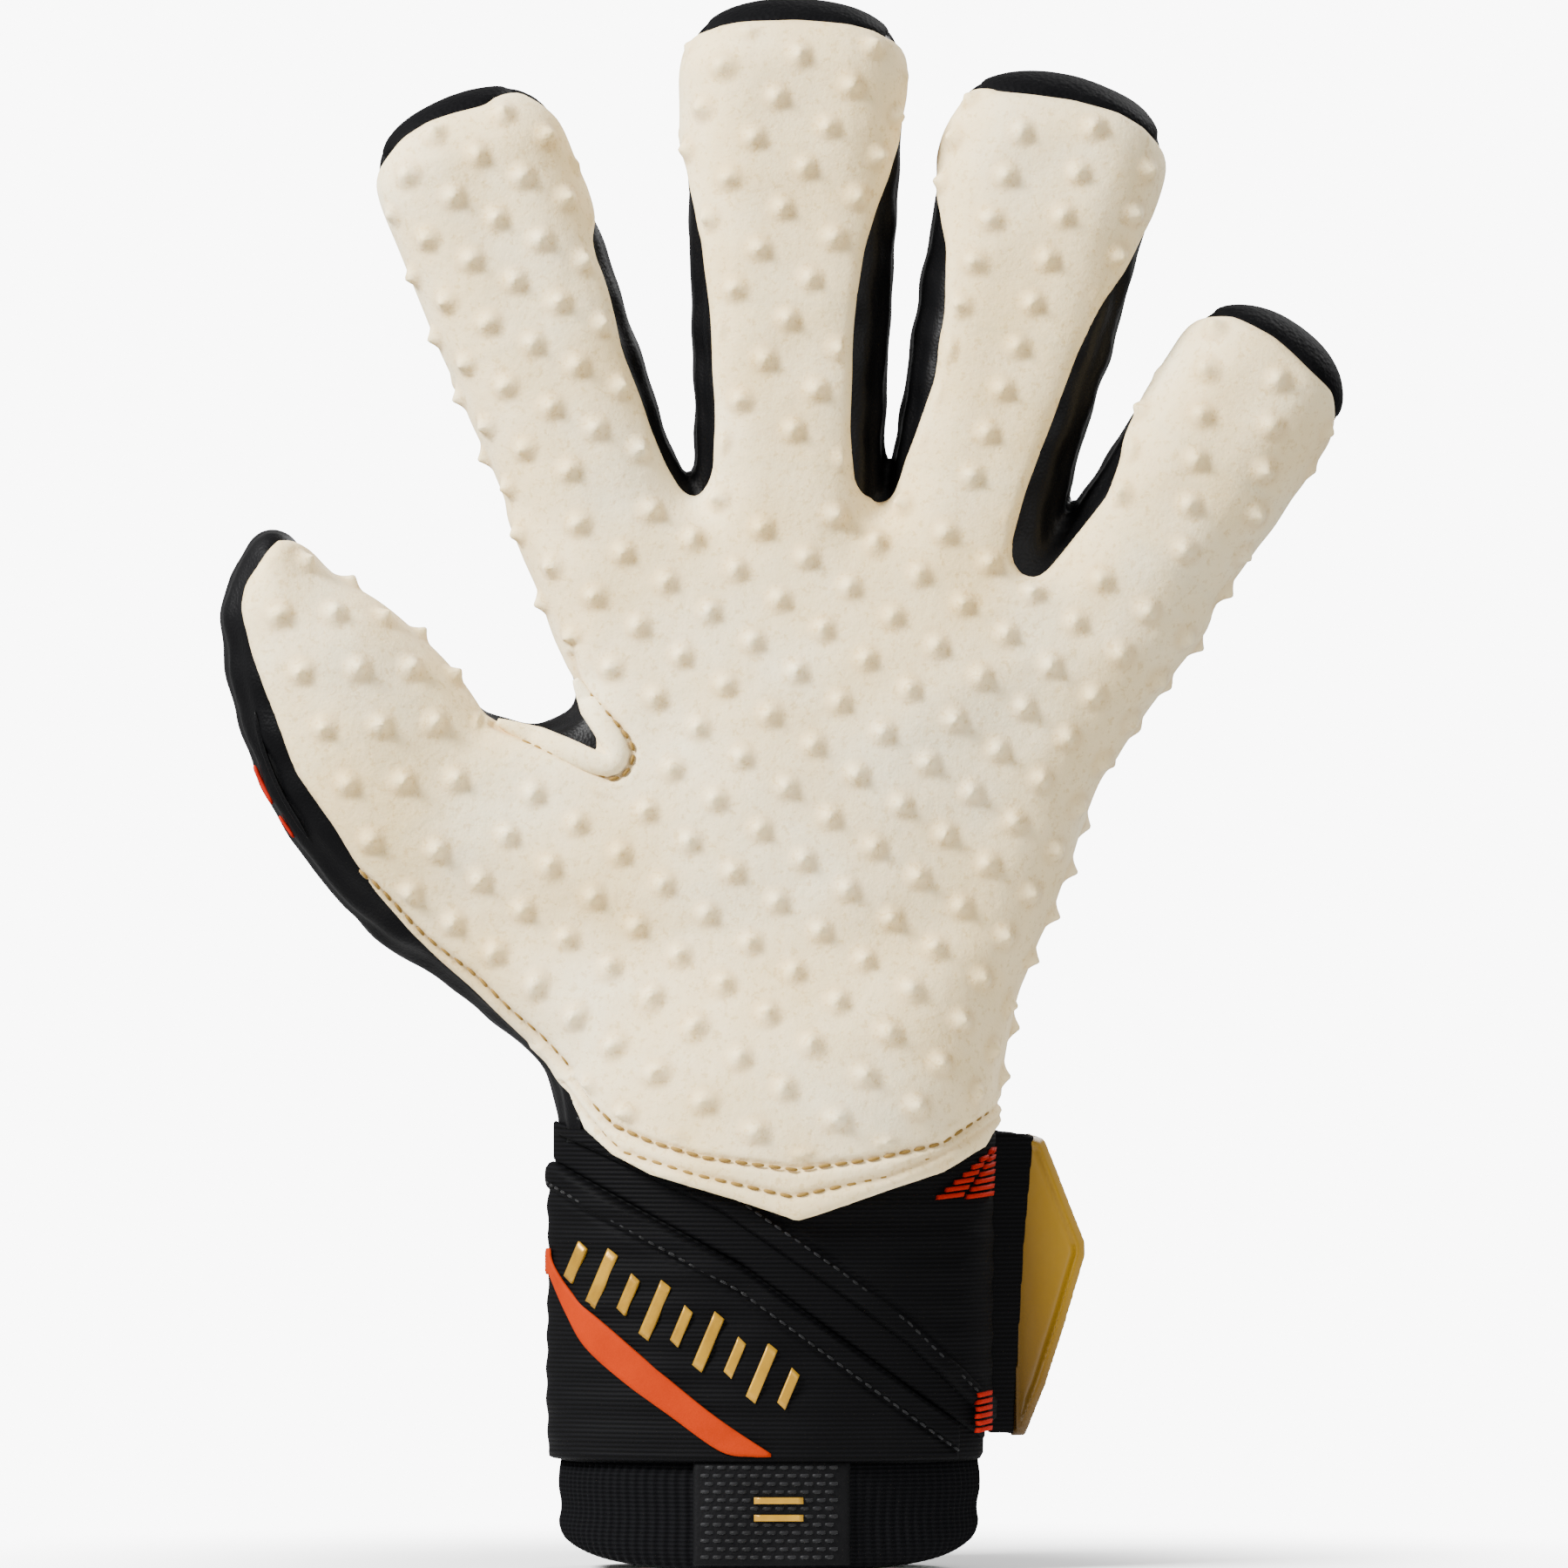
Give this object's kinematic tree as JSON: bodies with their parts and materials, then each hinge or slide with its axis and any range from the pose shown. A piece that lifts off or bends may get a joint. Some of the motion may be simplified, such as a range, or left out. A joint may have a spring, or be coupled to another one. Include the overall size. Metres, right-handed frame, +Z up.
{
  "type": "goalkeeper glove",
  "caption": "Left-hand goalkeeper glove with a dimpled latex palm, black gussets between the fingers, an elastic wrist wrap and a strap that closes over the back.",
  "frame": {"origin": "middle of the glove's width and depth, at the flat bottom edge of the cuff", "axes": "+Z up to the fingertips, the palm faces -Y, +X towards the little finger"},
  "size_m": [0.209, 0.0536, 0.2902],
  "materials": {
    "latex": "matte",
    "back_foam": "matte",
    "gusset": "satin",
    "elastic": "matte",
    "knit": "matte",
    "patch": "matte",
    "hook_loop": "matte",
    "tab_rubber": "satin"
  },
  "bodies": {
    "hand": {"palm_latex": "latex", "hand_back": "back_foam", "little_side_wall": "gusset", "index_side_wall": "gusset", "thumb_crotch_gusset": "gusset", "thumb_side_wall": "gusset", "index_middle_crotch": "gusset", "middle_ring_crotch": "gusset", "ring_little_crotch": "gusset", "thumb_welt": "latex", "palm_hem": "latex", "cuff": "knit", "cuff_patch": "patch", "wrist_sleeve": "elastic", "wrist_wrap": "elastic", "wrap_upper_layer": "elastic", "wrap_lower_layer": "elastic", "loop_pad": "hook_loop"},
    "index_base": {"index_base_latex": "latex", "index_base_back": "back_foam", "index_base_gusset_thumb_side": "gusset", "index_base_gusset_little_side": "gusset"},
    "index_tip": {"index_tip_latex": "latex", "index_tip_back": "back_foam", "index_tip_gusset": "gusset"},
    "middle_base": {"middle_base_latex": "latex", "middle_base_back": "back_foam", "middle_base_gusset_thumb_side": "gusset", "middle_base_gusset_little_side": "gusset"},
    "middle_tip": {"middle_tip_latex": "latex", "middle_tip_back": "back_foam", "middle_tip_gusset": "gusset"},
    "ring_base": {"ring_base_latex": "latex", "ring_base_back": "back_foam", "ring_base_gusset_thumb_side": "gusset", "ring_base_gusset_little_side": "gusset"},
    "ring_tip": {"ring_tip_latex": "latex", "ring_tip_back": "back_foam", "ring_tip_gusset": "gusset"},
    "little_base": {"little_base_latex": "latex", "little_base_back": "back_foam", "little_base_gusset_thumb_side": "gusset", "little_base_gusset_little_side": "gusset"},
    "little_tip": {"little_tip_latex": "latex", "little_tip_back": "back_foam", "little_tip_gusset": "gusset"},
    "thumb_base": {"thumb_base_latex": "latex", "thumb_base_back": "back_foam", "thumb_base_gusset_inner": "gusset", "thumb_base_gusset_outer": "gusset"},
    "thumb_tip": {"thumb_tip_latex": "latex", "thumb_tip_back": "back_foam", "thumb_tip_gusset": "gusset"},
    "strap": {"closure_strap": "elastic", "hook_pad": "hook_loop", "pull_tab": "tab_rubber"}
  },
  "joints": [
    {"name": "index_knuckle", "type": "hinge", "parent": "hand", "child": "index_base", "pos_m": [-0.03802, -0.0134, 0.20921], "axis": [0.9336, 0, 0.3584], "range_deg": [0, 45], "stiffness_Nm_per_rad": 0.05},
    {"name": "index_middle_joint", "type": "hinge", "parent": "index_base", "child": "index_tip", "pos_m": [-0.04961, -0.0134, 0.23941], "axis": [0.9336, 0, 0.3584], "range_deg": [0, 45], "stiffness_Nm_per_rad": 0.05},
    {"name": "middle_knuckle", "type": "hinge", "parent": "hand", "child": "middle_base", "pos_m": [0.00084, -0.0134, 0.21055], "axis": [0.9998, 0, -0.0174], "range_deg": [0, 45], "stiffness_Nm_per_rad": 0.05},
    {"name": "middle_middle_joint", "type": "hinge", "parent": "middle_base", "child": "middle_tip", "pos_m": [0.00152, -0.0134, 0.24937], "axis": [0.9998, 0, -0.0174], "range_deg": [0, 45], "stiffness_Nm_per_rad": 0.05},
    {"name": "ring_knuckle", "type": "hinge", "parent": "hand", "child": "ring_base", "pos_m": [0.03779, -0.0134, 0.20795], "axis": [0.9755, 0, -0.2199], "range_deg": [0, 45], "stiffness_Nm_per_rad": 0.05},
    {"name": "ring_middle_joint", "type": "hinge", "parent": "ring_base", "child": "ring_tip", "pos_m": [0.04526, -0.0134, 0.24109], "axis": [0.9755, 0, -0.2199], "range_deg": [0, 45], "stiffness_Nm_per_rad": 0.05},
    {"name": "little_knuckle", "type": "hinge", "parent": "hand", "child": "little_base", "pos_m": [0.07076, -0.0134, 0.19366], "axis": [0.829, 0, -0.5592], "range_deg": [0, 45], "stiffness_Nm_per_rad": 0.05},
    {"name": "little_middle_joint", "type": "hinge", "parent": "little_base", "child": "little_tip", "pos_m": [0.0823, -0.0134, 0.21076], "axis": [0.829, 0, -0.5592], "range_deg": [0, 45], "stiffness_Nm_per_rad": 0.05},
    {"name": "thumb_knuckle", "type": "hinge", "parent": "hand", "child": "thumb_base", "pos_m": [-0.06862, -0.0134, 0.14409], "axis": [0.829, 0, 0.5592], "range_deg": [0, 40], "stiffness_Nm_per_rad": 0.05},
    {"name": "thumb_middle_joint", "type": "hinge", "parent": "thumb_base", "child": "thumb_tip", "pos_m": [-0.08671, -0.0134, 0.1666], "axis": [0.829, 0, 0.5592], "range_deg": [0, 40], "stiffness_Nm_per_rad": 0.05},
    {"name": "strap_hinge", "type": "hinge", "parent": "hand", "child": "strap", "pos_m": [-0.03834, 0.0136, 0.052], "axis": [0, 0, 1], "range_deg": [0, 110]}
  ]
}
